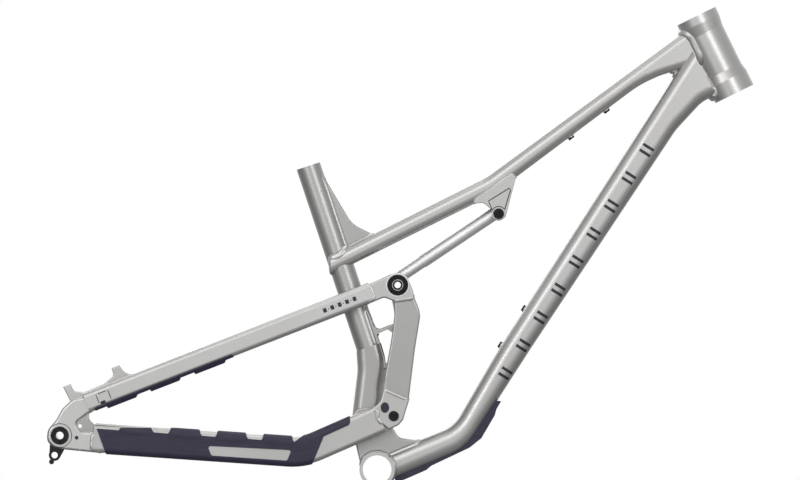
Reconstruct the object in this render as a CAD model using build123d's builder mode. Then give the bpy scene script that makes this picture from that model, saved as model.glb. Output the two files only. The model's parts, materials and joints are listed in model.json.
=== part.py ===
"""A full-suspension bicycle frame: a front triangle, a swingarm on two short links and a strut.

Millimetres. The origin is the centre of the bottom-bracket shell, +X points forward, +Z up, and the drive
side is at -Y. Every outline is drawn in a side view, where local x is X and local y is Z.
"""

from build123d import *
import os
from math import atan2, degrees, hypot

os.makedirs("parts", exist_ok=True)

# ---------------------------------------------------------------- driving dimensions
# Places in the side view (X, Z)
REAR_AXLE = (-449.3, 49.0)
UPPER_PIVOT = (29.2, 262.0)
LOWER_PIVOT = (23.6, 76.3)
LOWER_LINK_PIVOT = (4.0, 60.0)
ROCKER_PIVOT = (43.9, 169.7)
SHOCK_PIVOT = (172.5, 363.1)
HEAD_TOP = (453.3, 643.8)
HEAD_BOTTOM = (507.4, 533.4)
SEAT_TOP = (-97.8, 431.0)
SEAT_FOOT = (-9.2, 165.0)

# Bottom-bracket shell, head tube and seat tube
SHELL_R = 25.0
SHELL_BORE_R = 20.5
SHELL_LENGTH = 91.5
HEAD_R = 30.2
HEAD_WAIST_R = 27.8
HEAD_UPPER_CUP_R = 22.0
HEAD_LOWER_CUP_R = 27.95
HEAD_CUP_DEPTH = 15.0
HEAD_RELIEF_R = 28.5
HEAD_RELIEF = 1.0
HEAD_BORE_R = 24.5
SEAT_R = 17.45
SEAT_BORE_R = 15.8

# Welded tubes: half widths across the bicycle, edge radii and wall
TOP_HALF = 19.0
TOP_EDGE = 11.0
DOWN_HALF = 26.0
DOWN_EDGE = 16.0
FORGING_HALF = 20.0
FORGING_EDGE = 2.5
FOOT_HALF = 18.6
FOOT_EDGE = 13.0
FOOT_WALL = 3.0
WALL = 2.0

# Swingarm
HUB_HALF = 74.0
DROPOUT_THICK = 10.0
DROPOUT_EDGE = 3.5
STAY_REAR_Y = 79.0
STAY_FRONT_Y = 38.5
STAY_THICK = 14.0
SEAT_STAY_DEPTH = 28.4
CHAIN_STAY_DEPTH = 40.0
SIDE_INNER = 30.0
SIDE_OUTER = 45.0
PIVOT_HEAD_R = 17.3
AXLE_HOLE_R = 6.05
AXLE_THREAD_R = 5.45
HANGER_HOLE = (-456.7, 21.2)
HANGER_THREAD_R = 4.5
BRAKE_POSTS = ((-441.9, 119.0), (-372.6, 145.6))
BRAKE_Y = 73.0
BRAKE_THREAD_R = 2.5

# Axles, links and strut
UPPER_AXLE_R = 7.0
UPPER_AXLE_BORE_R = 4.5
LOWER_AXLE_R = 6.0
ROCKER_AXLE_R = 5.0
LINK_AXLE_R = 5.0
SHOCK_BOLT_R = 4.0
RUNNING_GAP = 0.05
FRAME_REACH = 110.0
OPEN_PIVOT_GAP = 1.0
STRUT_OPEN_GAP = 2.4
LINK_INNER = 22.5
LINK_OUTER = 29.2
ROCKER_INNER = 16.6
ROCKER_OUTER = 24.6
STRUT_HALF = 10.5
STRUT_R = 9.1
STRUT_BORE_R = 8.35
STRUT_ROD_R = 8.3
STRUT_ABOVE_SHOCK = 3.4
STRUT_ABOVE_PIVOT = 7.8
STRUT_MOUTH = 128.0
STRUT_BORE_END = 26.0
STRUT_ROD_END = 62.0
EAR_INNER = 11.3
EAR_OUTER = 20.3
EYE_ROOM_R = 16.0
EYE_ROOM_BACK = (-28.0, -16.0)
EYE_ROOM_SIZE = (40.0, 34.0)
EYE_ROOM_SLOPE = 34.0
BRACKET_EDGE = 1.0
POCKET_DEEP = 2.0
POCKET_SUNK = 0.6
POCKET_GROOVE = 1.2
POCKET_CLEAR_R = 9.8


# ---------------------------------------------------------------- helpers
def side(y=0.0):
    """The side view at this Y, seen from the drive side. Extruding goes towards -Y."""
    return Plane(origin=(0, y, 0), x_dir=(1, 0, 0), z_dir=(0, -1, 0))


def across(place, y=0.0):
    """A plane square to Y whose own origin is at a place of the side view."""
    return Plane(origin=(place[0], y, place[1]), x_dir=(1, 0, 0), z_dir=(0, -1, 0))


def outline(points, corners, inset=0.0):
    """A closed face in the side view with rounded corners, made smaller all round by inset."""
    with BuildSketch(side()) as drawn:
        with BuildLine():
            FilletPolyline(*points, radius=corners, close=True)
        make_face()
        if inset:
            offset(amount=-inset, mode=Mode.REPLACE)
    return drawn.sketch


def long_edges(piece, points, ends):
    """The rim edges of an extruded outline, without the straight ones that close its ends."""
    middles = [Vector(*along(points[i], points[(i + 1) % len(points)], 0.5)) for i in ends]
    rim = piece.faces().filter_by(Axis.Y).edges()
    kept = []
    for edge in rim:
        centre = edge @ 0.5
        if all((Vector(centre.X, centre.Z) - middle).length > 2.0 * WALL for middle in middles):
            kept.append(edge)
    return kept


def formed_tube(points, corners, ends, half, edge, wall):
    """A hydroformed tube and its hollow: a side outline with rounded long edges and an even wall.

    ends lists the outline's closing sides by the number of their first point; they stay square.
    """
    with BuildPart() as formed:
        extrude(outline(points, corners), amount=half, both=True)
        fillet(long_edges(formed, points, ends), edge)
    with BuildPart() as hollow:
        extrude(outline(points, corners, wall), amount=half - wall, both=True)
        fillet(long_edges(hollow, points, ends), edge - wall)
    return formed.part, hollow.part


def plate(points, corners, y_from, y_to, edge=0.0):
    """A flat piece of the side view between two Y values, with its rim eased by edge."""
    with BuildPart() as flat:
        extrude(outline(points, corners).moved(Location((0, y_from, 0))), amount=y_from - y_to)
        if edge:
            fillet(flat.faces().filter_by(Axis.Y).edges(), edge)
    return flat.part


def disc(place, radius, y_from, y_to, bore=0.0):
    """A round piece about a pivot between two Y values."""
    with BuildPart() as round_piece:
        with BuildSketch(across(place, y_from)):
            Circle(radius)
            if bore:
                Circle(bore, mode=Mode.SUBTRACT)
        extrude(amount=y_from - y_to)
    return round_piece.part


def save(piece, name):
    """Label a finished piece and write it as its own file."""
    piece.label = name
    export_step(piece, f"parts/{name}.step")


def largest(piece):
    """The biggest solid of a cut piece, dropping the offcuts."""
    return Part(piece.solids().sort_by(SortBy.VOLUME)[-1].wrapped)


def mirrored(piece):
    """The same piece on the other side of the bicycle."""
    return mirror(piece, about=Plane.XZ)


def along(start, end, share):
    """A point of the side view on the line from start to end."""
    return (start[0] + (end[0] - start[0]) * share, start[1] + (end[1] - start[1]) * share)


# ---------------------------------------------------------------- head tube
HEAD_LENGTH = hypot(HEAD_TOP[0] - HEAD_BOTTOM[0], HEAD_TOP[1] - HEAD_BOTTOM[1])
HEAD_UP = ((HEAD_TOP[0] - HEAD_BOTTOM[0]) / HEAD_LENGTH, (HEAD_TOP[1] - HEAD_BOTTOM[1]) / HEAD_LENGTH)
head_plane = Plane(
    origin=(HEAD_BOTTOM[0], 0, HEAD_BOTTOM[1]),
    x_dir=(HEAD_UP[1], 0, -HEAD_UP[0]),
    z_dir=(0, -1, 0),
)
# Heights up the head tube where its outside changes, from the lower ring through the waist to the top ring
HEAD_STEPS = (22.5, 35.0, 96.0, 111.0)
head_outside = [
    (0, 0),
    (HEAD_R, 0),
    (HEAD_R, HEAD_STEPS[0]),
    (HEAD_WAIST_R, HEAD_STEPS[1]),
    (HEAD_WAIST_R, HEAD_STEPS[2]),
    (HEAD_R, HEAD_STEPS[3]),
    (HEAD_R, HEAD_LENGTH),
    (0, HEAD_LENGTH),
]
head_axis = Axis(origin=(HEAD_BOTTOM[0], 0, HEAD_BOTTOM[1]), direction=(HEAD_UP[0], 0, HEAD_UP[1]))
with BuildPart() as head_envelope:
    with BuildSketch(head_plane):
        with BuildLine():
            FilletPolyline(*head_outside, radius=(0, 0, 8, 8, 8, 8, 0, 0), close=True)
        make_face()
    revolve(axis=head_axis)
head_foot = Plane(
    origin=(HEAD_BOTTOM[0], 0, HEAD_BOTTOM[1]),
    x_dir=(0, 1, 0),
    z_dir=(HEAD_UP[0], 0, HEAD_UP[1]),
)
# Bore radius, height up the tube and depth; a relief groove ends the lower cup's seat
head_bores = (
    (HEAD_LOWER_CUP_R, 0.0, HEAD_CUP_DEPTH),
    (HEAD_RELIEF_R, HEAD_CUP_DEPTH - HEAD_RELIEF, HEAD_RELIEF),
    (HEAD_BORE_R, HEAD_CUP_DEPTH, HEAD_LENGTH - 2 * HEAD_CUP_DEPTH),
    (HEAD_UPPER_CUP_R, HEAD_LENGTH - HEAD_CUP_DEPTH, HEAD_CUP_DEPTH),
)
with BuildPart() as head_tube:
    add(head_envelope.part)
    for bore_r, height, depth in head_bores:
        with BuildSketch(head_foot.offset(height)):
            Circle(bore_r)
        extrude(amount=depth, mode=Mode.SUBTRACT)
save(head_tube.part, "head_tube")

# ---------------------------------------------------------------- seat tube
SEAT_LENGTH = hypot(SEAT_TOP[0] - SEAT_FOOT[0], SEAT_TOP[1] - SEAT_FOOT[1])
SEAT_UP = ((SEAT_TOP[0] - SEAT_FOOT[0]) / SEAT_LENGTH, 0, (SEAT_TOP[1] - SEAT_FOOT[1]) / SEAT_LENGTH)
seat_plane = Plane(origin=(SEAT_FOOT[0], 0, SEAT_FOOT[1]), x_dir=(0, 1, 0), z_dir=SEAT_UP)
with BuildPart() as seat_envelope:
    with BuildSketch(seat_plane):
        Circle(SEAT_R)
    extrude(amount=SEAT_LENGTH)
with BuildPart() as seat_tube:
    add(seat_envelope.part)
    with BuildSketch(seat_plane):
        Circle(SEAT_BORE_R)
    extrude(amount=SEAT_LENGTH, mode=Mode.SUBTRACT)
save(seat_tube.part, "seat_tube")

# ---------------------------------------------------------------- bottom-bracket shell
BB_CENTRE = (0.0, 0.0)
SHELL_HALF = SHELL_LENGTH / 2
shell_envelope = disc(BB_CENTRE, SHELL_R, SHELL_HALF, -SHELL_HALF)
save(disc(BB_CENTRE, SHELL_R, SHELL_HALF, -SHELL_HALF, SHELL_BORE_R), "bottom_bracket_shell")

# ---------------------------------------------------------------- down tube
down_points = [
    (2, -23),
    (127, 30),
    (217, 170),
    (424, 482),
    (462, 523),
    (482, 531),
    (446, 596),
    (172, 169.7),
    (110, 62.7),
    (2, 18),
]
down_corners = (0, 75, 500, 90, 45, 0, 0, 900, 55, 0)
down_formed, down_hollow = formed_tube(down_points, down_corners, (5, 9), DOWN_HALF, DOWN_EDGE, WALL)

# ---------------------------------------------------------------- top tube
top_points = [
    (-66, 276),
    (165, 390.7),
    (373, 546.5),
    (402, 559.5),
    (478, 583),
    (456, 636),
    (156, 415.5),
    (-66, 304),
]
top_corners = (0, 90, 160, 120, 0, 0, 90, 0)
top_formed, top_hollow = formed_tube(top_points, top_corners, (4, 7), TOP_HALF, TOP_EDGE, WALL)
with BuildPart() as top_tube:
    add(top_formed)
    add(top_hollow, mode=Mode.SUBTRACT)
    add(head_envelope.part, mode=Mode.SUBTRACT)
    add(seat_envelope.part, mode=Mode.SUBTRACT)

with BuildPart() as down_tube:
    add(down_formed)
    add(down_hollow, mode=Mode.SUBTRACT)
    add(head_envelope.part, mode=Mode.SUBTRACT)
    add(shell_envelope, mode=Mode.SUBTRACT)
    add(top_formed, mode=Mode.SUBTRACT)

# ---------------------------------------------------------------- lower forging
# A web joins both tubes to the shell and carries the lower link; an oval foot above it meets the seat tube
foot_points = [
    (-33, 60),
    (-35.6, 74),
    (-27.6, 141),
    (-29.4, 168),
    (5.5, 180),
    (14.2, 150),
    (8.5, 118),
    (7, 60),
]
foot_corners = (0, 50, 70, 0, 0, 70, 70, 0)
web_points = [
    (-22, 0),
    (-31.4, 40.5),
    (-35.6, 71),
    (-30, 88),
    (4, 88),
    (6.5, 76),
    (18, 66),
    (31, 45),
    (60, 41),
    (40, 5),
    (20, -5),
]
web_corners = (0, 30, 30, 12, 12, 5, 6, 12, 0, 0, 0)
foot_formed, foot_hollow = formed_tube(foot_points, foot_corners, (3, 7), FOOT_HALF, FOOT_EDGE, FOOT_WALL)
web_envelope = plate(web_points, web_corners, FORGING_HALF, -FORGING_HALF, FORGING_EDGE)
with BuildPart() as forging_envelope:
    add(foot_formed)
    add(web_envelope)
with BuildPart() as lower_forging:
    add(foot_formed)
    add(foot_hollow, mode=Mode.SUBTRACT)
    add(web_envelope)
    add(shell_envelope, mode=Mode.SUBTRACT)
    add(seat_envelope.part, mode=Mode.SUBTRACT)
    with BuildSketch(across(LOWER_LINK_PIVOT)):
        Circle(LINK_AXLE_R)
    extrude(amount=FORGING_HALF, both=True, mode=Mode.SUBTRACT)
save(largest(lower_forging.part), "lower_forging")

# ---------------------------------------------------------------- gussets
GUSSET_HALF = 9.0
HEAD_GUSSET_HALF = 8.0
GUSSET_EDGE = 2.0
seat_gusset_points = [(-76.8, 418.2), (-35.6, 348.6), (-4, 333), (-40, 300), (-60, 300), (-100, 418)]
with BuildPart() as seat_tube_gusset:
    add(plate(seat_gusset_points, (0, 40, 0, 0, 0, 0), GUSSET_HALF, -GUSSET_HALF, GUSSET_EDGE))
    add(seat_envelope.part, mode=Mode.SUBTRACT)
    add(top_formed, mode=Mode.SUBTRACT)
save(largest(seat_tube_gusset.part), "seat_tube_gusset")

head_gusset_points = [(411, 576), (417.5, 564.5), (426, 551), (450, 556), (450, 582)]
with BuildPart() as head_gusset:
    add(plate(head_gusset_points, (0, 12, 0, 0, 0), HEAD_GUSSET_HALF, -HEAD_GUSSET_HALF, GUSSET_EDGE))
    add(head_envelope.part, mode=Mode.SUBTRACT)
    add(top_formed, mode=Mode.SUBTRACT)
    add(down_formed, mode=Mode.SUBTRACT)
save(largest(head_gusset.part), "head_gusset")

# ---------------------------------------------------------------- shock bracket
# Two ears that lap the top tube's sides, joined over the strut's eye, each with a grooved pocket
bracket_points = [
    (134, 377.5),
    (151, 378.6),
    (162.6, 369),
    (163.5, 356.5),
    (172.5, 352.6),
    (182.4, 358),
    (188.7, 382.7),
    (197, 415),
    (193.5, 421),
    (178, 411.5),
    (160.3, 397.4),
    (141, 385),
]
bracket_corners = (2, 7, 6, 5, 6, 8, 30, 4, 4, 30, 60, 20)
pocket_points = [(157, 381.5), (187.5, 400.5), (190.4, 397.5), (181.5, 368), (163.5, 366)]
pocket_corners = (2.5, 2, 2, 2, 2)
pocket_floor = EAR_OUTER - POCKET_DEEP


def pocket_prism(inset, top_y):
    """The right ear's pocket from its floor outward to top_y, made smaller all round by inset."""
    with BuildPart() as prism:
        extrude(
            outline(pocket_points, pocket_corners, inset).moved(Location((0, -pocket_floor, 0))),
            amount=top_y - pocket_floor,
        )
        add(disc(SHOCK_PIVOT, POCKET_CLEAR_R + inset, 0, -2 * EAR_OUTER), mode=Mode.SUBTRACT)
    return prism.part


pocket_cut = pocket_prism(0.0, EAR_OUTER + POCKET_DEEP)
pocket_island = pocket_prism(POCKET_GROOVE, EAR_OUTER - POCKET_SUNK)
with BuildPart() as shock_bracket:
    add(plate(bracket_points, bracket_corners, EAR_OUTER, -EAR_OUTER, BRACKET_EDGE))
    with BuildSketch(across(SHOCK_PIVOT)):
        Circle(EYE_ROOM_R)
        with Locations(EYE_ROOM_BACK):
            Rectangle(*EYE_ROOM_SIZE, rotation=EYE_ROOM_SLOPE)
    extrude(amount=EAR_INNER, both=True, mode=Mode.SUBTRACT)
    add(top_formed, mode=Mode.SUBTRACT)
    add(disc(SHOCK_PIVOT, SHOCK_BOLT_R, EAR_OUTER, -EAR_OUTER), mode=Mode.SUBTRACT)
    for way_in, island in ((pocket_cut, pocket_island), (mirrored(pocket_cut), mirrored(pocket_island))):
        add(way_in, mode=Mode.SUBTRACT)
        add(island)
save(shock_bracket.part, "shock_bracket")

# ---------------------------------------------------------------- rocker bracket
# A windowed arm in front of the seat tube, carrying the upper link
ROCKER_BRACKET_HALF = 14.0
ROCKER_BRACKET_EDGE = 2.5
rocker_bracket_points = [
    (-16, 232),
    (-8.7, 217),
    (-4, 203),
    (3, 199.5),
    (23, 207.5),
    (42, 192),
    (53.2, 172),
    (46, 160),
    (24, 146),
    (-2, 138),
    (-30, 200),
]
rocker_window_points = [(-0.6, 192), (15, 199), (22, 194), (31, 172), (27, 160), (12.8, 150)]
with BuildPart() as rocker_bracket:
    add(
        plate(
            rocker_bracket_points,
            (0, 12, 10, 8, 8, 12, 9, 12, 10, 0, 0),
            ROCKER_BRACKET_HALF,
            -ROCKER_BRACKET_HALF,
            ROCKER_BRACKET_EDGE,
        )
    )
    add(
        plate(rocker_window_points, (2, 3, 4, 8, 6, 2), ROCKER_BRACKET_HALF, -ROCKER_BRACKET_HALF),
        mode=Mode.SUBTRACT,
    )
    with BuildSketch(across(ROCKER_PIVOT)):
        Circle(ROCKER_AXLE_R)
    extrude(amount=ROCKER_BRACKET_HALF, both=True, mode=Mode.SUBTRACT)
    add(seat_envelope.part, mode=Mode.SUBTRACT)
    add(forging_envelope.part, mode=Mode.SUBTRACT)
save(largest(rocker_bracket.part), "rocker_bracket")

# ---------------------------------------------------------------- bottle and accessory bosses
def face_frame(points, first, second, share, lift):
    """A plane on a tube's straight side: local x along the side, z square to it and outward by lift."""
    start, end = points[first], points[second]
    place = along(start, end, share)
    length = hypot(end[0] - start[0], end[1] - start[1])
    run = ((end[0] - start[0]) / length, (end[1] - start[1]) / length)
    out = (run[1], -run[0])
    return Plane(
        origin=(place[0] + out[0] * lift, 0, place[1] + out[1] * lift),
        x_dir=(run[0], 0, run[1]),
        z_dir=(out[0], 0, out[1]),
    )


def share_at(points, first, second, x):
    """How far along a side of an outline its point at this X lies."""
    return (x - points[first][0]) / (points[second][0] - points[first][0])


BOSS_R = 5.5
BOSS_LIFT = 1.2
BOLT_R = 2.5
BOLT_HEAD_R = 4.6
BOLT_HEAD_HIGH = 2.6
BOLT_DEEP = 9.0
BOSS_SUNK = 3.0
BOLT_KEY_R = 1.7
BOLT_KEY_DEEP = 1.8
BOSS_CUT_OUT = 5.0
BOSS_CUT_IN = 15.0
bottle_places = [
    face_frame(down_points, 6, 7, share_at(down_points, 6, 7, x), 0) for x in (176.2, 209.5)
]
accessory_places = [
    face_frame(top_points, 1, 2, share_at(top_points, 1, 2, x), 0) for x in (274.5, 325.0)
]
for tube, places, name in (
    (down_tube, bottle_places, "down_tube"),
    (top_tube, accessory_places, "top_tube"),
):
    with BuildPart() as drilled:
        add(tube.part)
        add(forging_envelope.part, mode=Mode.SUBTRACT)
        for place in places:
            with BuildSketch(place.offset(BOSS_CUT_OUT)):
                Circle(BOSS_R)
            extrude(amount=-BOSS_CUT_OUT - BOSS_CUT_IN, mode=Mode.SUBTRACT)
    save(largest(drilled.part), name)

for places, piece_name in ((bottle_places, "bottle"), (accessory_places, "accessory")):
    with BuildPart() as bosses:
        for place in places:
            with BuildSketch(place.offset(-WALL - BOSS_SUNK)):
                Circle(BOSS_R)
                Circle(BOLT_R, mode=Mode.SUBTRACT)
            extrude(amount=WALL + BOSS_SUNK + BOSS_LIFT)
    with BuildPart() as bolts:
        for place in places:
            with BuildSketch(place.offset(BOSS_LIFT)):
                Circle(BOLT_HEAD_R)
            extrude(amount=BOLT_HEAD_HIGH)
            with BuildSketch(place.offset(BOSS_LIFT - BOLT_DEEP)):
                Circle(BOLT_R)
            extrude(amount=BOLT_DEEP)
            with BuildSketch(place.offset(BOSS_LIFT + BOLT_HEAD_HIGH)):
                RegularPolygon(BOLT_KEY_R, 6)
            extrude(amount=-BOLT_KEY_DEEP, mode=Mode.SUBTRACT)
    save(bosses.part, f"{piece_name}_bosses")
    save(bolts.part, f"{piece_name}_bolts")

# ---------------------------------------------------------------- down-tube guard
GUARD_HALF = 18.0
guard_points = [
    (24, -19),
    (38, -14.5),
    (70, -0.5),
    (77, 5.5),
    (131, 31),
    (148, 44.5),
    (167, 77),
    (169.5, 86),
    (176, 97),
    (150, 100),
    (60, 20),
    (30, 0),
]
with BuildPart() as down_tube_guard:
    add(plate(guard_points, (0, 2, 2, 3, 20, 4, 2, 2, 0, 0, 0, 0), GUARD_HALF, -GUARD_HALF))
    add(down_formed, mode=Mode.SUBTRACT)
    add(shell_envelope, mode=Mode.SUBTRACT)
    add(forging_envelope.part, mode=Mode.SUBTRACT)
save(largest(down_tube_guard.part), "down_tube_guard")

# ---------------------------------------------------------------- dropouts, hanger and hub fittings
dropout_points = [
    (-404, 84),
    (-408, 105),
    (-431.7, 100.3),
    (-446, 87),
    (-454, 72),
    (-466.5, 57),
    (-468, 41),
    (-457.4, 31.5),
    (-441.8, 29.1),
    (-391, 24),
    (-394, 53.7),
    (-418, 53.7),
    (-428, 66),
]
dropout_corners = (0, 0, 14, 20, 24, 14, 12, 14, 30, 0, 0, 8, 6)
dropout_shape = plate(
    dropout_points, dropout_corners, -HUB_HALF, -HUB_HALF - DROPOUT_THICK, DROPOUT_EDGE
)
HANGER_THICK = 6.0
HANGER_HEAD_R = 15.0
HANGER_EYE_R = 8.2
HANGER_BOLT_R = 8.0
HANGER_FLANGE_R = 12.8
HANGER_FLANGE = 2.5
HANGER_NOTCH_AT = 9.8
HANGER_NOTCHES = 8
HANGER_NOTCH_R = 1.2
HANGER_NOTCH_DEEP = 1.2
HANGER_STOP = (-461.0, 11.8)
HANGER_STOP_R = 3.6
with BuildPart() as hanger_body:
    with BuildSketch(side(-HUB_HALF)):
        with Locations(REAR_AXLE):
            Circle(HANGER_HEAD_R)
        with Locations(HANGER_HOLE):
            Circle(HANGER_EYE_R)
        with BuildLine():
            Polyline((-463, 42), (-438, 38), (-449, 18), (-464.5, 18), close=True)
        make_face()
        with Locations(HANGER_STOP):
            Circle(HANGER_STOP_R)
    extrude(amount=HANGER_THICK)
with BuildPart() as derailleur_hanger:
    add(hanger_body.part)
    add(disc(REAR_AXLE, HANGER_BOLT_R, 0, -FRAME_REACH), mode=Mode.SUBTRACT)
    add(disc(HANGER_HOLE, HANGER_THREAD_R, 0, -FRAME_REACH), mode=Mode.SUBTRACT)
save(derailleur_hanger.part, "derailleur_hanger")
with BuildPart() as hanger_bolt:
    add(disc(REAR_AXLE, HANGER_BOLT_R, -HUB_HALF, -HUB_HALF - DROPOUT_THICK))
    add(
        disc(
            REAR_AXLE,
            HANGER_FLANGE_R,
            -HUB_HALF - DROPOUT_THICK,
            -HUB_HALF - DROPOUT_THICK - HANGER_FLANGE,
        )
    )
    add(disc(REAR_AXLE, AXLE_THREAD_R, 0, -FRAME_REACH), mode=Mode.SUBTRACT)
    with BuildSketch(across(REAR_AXLE, -HUB_HALF - DROPOUT_THICK - HANGER_FLANGE)):
        with PolarLocations(HANGER_NOTCH_AT, HANGER_NOTCHES):
            Circle(HANGER_NOTCH_R)
    extrude(amount=-HANGER_NOTCH_DEEP, mode=Mode.SUBTRACT)
save(hanger_bolt.part, "hanger_bolt")
# The outer face carries a machined ring round the axle, a straight joint line and a small cable port
RING_GROOVE_R = 16.4
GROOVE_WIDE = 0.9
GROOVE_DEEP = 0.7
JOINT_LINE = ((-435.0, 58.0), (-420.5, 28.0))
PORT_PLACE = (-425.4, 45.9)
PORT_R = 2.7
PORT_DEEP = 8.0
line_from, line_to = JOINT_LINE
LINE_LENGTH = hypot(line_to[0] - line_from[0], line_to[1] - line_from[1])
LINE_SLOPE = degrees(atan2(line_to[1] - line_from[1], line_to[0] - line_from[0]))
dropout_face = -HUB_HALF - DROPOUT_THICK
with BuildPart() as dropout_right:
    add(dropout_shape)
    add(hanger_body.part, mode=Mode.SUBTRACT)
    add(disc(REAR_AXLE, HANGER_BOLT_R, 0, -FRAME_REACH), mode=Mode.SUBTRACT)
    with BuildSketch(across(REAR_AXLE, dropout_face)):
        Circle(RING_GROOVE_R + GROOVE_WIDE)
        Circle(RING_GROOVE_R, mode=Mode.SUBTRACT)
    extrude(amount=-GROOVE_DEEP, mode=Mode.SUBTRACT)
    with BuildSketch(across(along(line_from, line_to, 0.5), dropout_face)):
        Rectangle(LINE_LENGTH, GROOVE_WIDE, rotation=LINE_SLOPE)
    extrude(amount=-GROOVE_DEEP, mode=Mode.SUBTRACT)
    add(disc(PORT_PLACE, PORT_R, dropout_face + PORT_DEEP, dropout_face), mode=Mode.SUBTRACT)
save(largest(dropout_right.part), "dropout_right")

EYELET_PLACE = (-423.0, 61.0)
EYELET_R = 2.6
INSERT_R = 9.0
INSERT_FLANGE_R = 12.0
INSERT_FLANGE = 1.5
brace_points = [
    (-436, 92),
    (-402, 96),
    (-410, 82),
    (-410, 70),
    (-401, 62),
    (-384, 60),
    (-384, 46),
    (-436, 46),
]
left_outline = mirrored(dropout_shape)
with BuildPart() as dropout_left_body:
    add(left_outline)
    add(plate(brace_points, (0, 0, 8, 10, 8, 0, 0, 0), HUB_HALF + DROPOUT_THICK, HUB_HALF))
with BuildPart() as dropout_left:
    add(dropout_left_body.part)
    add(disc(REAR_AXLE, INSERT_R, FRAME_REACH, 0), mode=Mode.SUBTRACT)
    add(disc(EYELET_PLACE, EYELET_R, FRAME_REACH, 0), mode=Mode.SUBTRACT)
save(dropout_left.part, "dropout_left")
with BuildPart() as axle_insert:
    add(disc(REAR_AXLE, INSERT_R, HUB_HALF + DROPOUT_THICK, HUB_HALF))
    add(
        disc(
            REAR_AXLE,
            INSERT_FLANGE_R,
            HUB_HALF + DROPOUT_THICK + INSERT_FLANGE,
            HUB_HALF + DROPOUT_THICK,
        )
    )
    add(disc(REAR_AXLE, AXLE_HOLE_R, FRAME_REACH, 0), mode=Mode.SUBTRACT)
save(axle_insert.part, "axle_insert")

# ---------------------------------------------------------------- pivot forgings and uprights
SIDE_EDGE = 3.0
PIVOT_EDGE = 2.5
PIVOT_HEAD_INNER = 26.0
UPRIGHT_STEP = 1.0
upper_pivot_points = [
    (-20, 259.2),
    (19.7, 277.6),
    (44, 271),
    (50.7, 255),
    (52.6, 243),
    (24, 239),
    (10, 244.4),
    (-13.5, 234.6),
]
with BuildPart() as upper_pivot_envelope:
    add(plate(upper_pivot_points, (0, 4, 8, 10, 0, 0, 8, 0), -SIDE_INNER, -SIDE_OUTER, PIVOT_EDGE))
    add(disc(UPPER_PIVOT, PIVOT_HEAD_R, -PIVOT_HEAD_INNER, -SIDE_OUTER))
with BuildPart() as upper_pivot_forging:
    add(upper_pivot_envelope.part)
    add(disc(UPPER_PIVOT, UPPER_AXLE_R, 0, -FRAME_REACH), mode=Mode.SUBTRACT)

lower_pivot_points = [
    (-16, 82.5),
    (-1, 91.5),
    (5, 98),
    (9, 114.5),
    (45.5, 98.8),
    (41, 84),
    (37, 71),
    (31, 63.5),
    (17, 57),
]
with BuildPart() as lower_pivot_envelope:
    add(plate(lower_pivot_points, (0, 8, 8, 0, 0, 10, 10, 12, 0), -SIDE_INNER, -SIDE_OUTER, PIVOT_EDGE))
with BuildPart() as lower_pivot_forging:
    add(lower_pivot_envelope.part)
    add(disc(LOWER_PIVOT, LOWER_AXLE_R, 0, -FRAME_REACH), mode=Mode.SUBTRACT)

upright_points = [
    (24, 243),
    (52, 247),
    (62, 222),
    (53.6, 170),
    (44.5, 96),
    (8, 112),
    (11, 134),
    (20, 184),
    (24.5, 218),
]
with BuildPart() as upright:
    add(
        plate(
            upright_points,
            (0, 0, 34, 260, 0, 0, 160, 400, 60),
            -SIDE_INNER - UPRIGHT_STEP,
            -SIDE_OUTER + UPRIGHT_STEP,
            SIDE_EDGE,
        )
    )
    add(upper_pivot_envelope.part, mode=Mode.SUBTRACT)
    add(lower_pivot_envelope.part, mode=Mode.SUBTRACT)
upright_part = largest(upright.part)

for piece, name in (
    (upper_pivot_forging.part, "upper_pivot_forging"),
    (lower_pivot_forging.part, "lower_pivot_forging"),
    (upright_part, "upright"),
):
    save(piece, f"{name}_right")
    save(mirrored(piece), f"{name}_left")

# ---------------------------------------------------------------- stays
SEAT_STAY_ENDS = ((-412.5, 94.7), (-8.0, 252.0))
CHAIN_STAY_BENDS = ((-402.0, 45.3), (-104.5, 24.6), (4.0, 72.0))
CHAIN_STAY_BEND_R = 90.0
STAY_ROUND = 6.5
REAR_X, FRONT_X = -405.0, -5.0


def stay_point(place):
    """A place of the side view on the drive-side stays, which splay evenly towards the rear."""
    share = (place[0] - REAR_X) / (FRONT_X - REAR_X)
    return Vector(place[0], -(STAY_REAR_Y + (STAY_FRONT_Y - STAY_REAR_Y) * share), place[1])


def stay_section_plane(start, end):
    """The plane square to a stay at its start, local x across the bicycle and local y upwards."""
    run = (end - start).normalized()
    sideways = Vector(0, 1, 0) - run * run.Y
    return Plane(origin=start, x_dir=sideways, z_dir=run)


def seat_stay_solid(grow=0.0):
    """The drive-side seat stay, thickened all round by grow."""
    start, end = (stay_point(place) for place in SEAT_STAY_ENDS)
    with BuildPart() as stay:
        with BuildSketch(stay_section_plane(start, end)):
            RectangleRounded(STAY_THICK + 2 * grow, SEAT_STAY_DEPTH + 2 * grow, STAY_ROUND + grow)
        extrude(amount=(end - start).length)
    return stay.part


def chain_stay_solid(grow=0.0):
    """The drive-side chain stay with its upward bend, thickened all round by grow."""
    start, bend, end = (stay_point(place) for place in CHAIN_STAY_BENDS)
    with BuildPart() as stay:
        with BuildLine():
            FilletPolyline(start, bend, end, radius=CHAIN_STAY_BEND_R)
        with BuildSketch(stay_section_plane(start, bend)):
            RectangleRounded(STAY_THICK + 2 * grow, CHAIN_STAY_DEPTH + 2 * grow, STAY_ROUND + grow)
        sweep()
    return stay.part


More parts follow.
